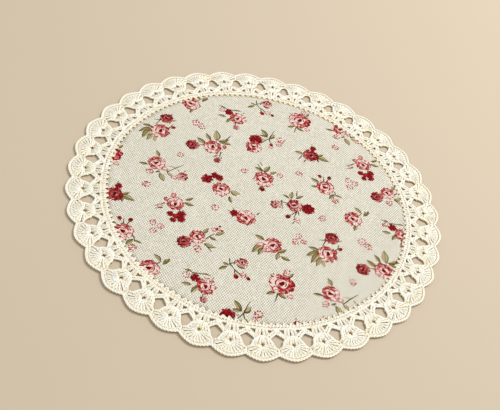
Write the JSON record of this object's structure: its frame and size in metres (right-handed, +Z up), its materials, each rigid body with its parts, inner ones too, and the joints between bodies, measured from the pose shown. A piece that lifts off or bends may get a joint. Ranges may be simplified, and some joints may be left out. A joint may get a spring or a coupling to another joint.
{
  "type": "round table doily of printed cloth with a crocheted lace border",
  "caption": "Round flat table doily: a disc of printed linen and cotton cloth in a scalloped, openwork crocheted border.",
  "frame": {"origin": "middle of the doily on the surface that it lies on", "axes": "+Z up out of the printed side; -Y along the axis of one fan of the border, so +Y runs through a notch"},
  "size_m": [0.3494, 0.3502, 0.0025],
  "materials": {
    "printed_cloth": "matt plain-woven linen and cotton, printed with small roses",
    "cotton_yarn": "ivory mercerised cotton yarn, crocheted"
  },
  "bodies": {
    "root": {"printed_panel": "printed_cloth", "crochet_border": "cotton_yarn"}
  },
  "joints": []
}
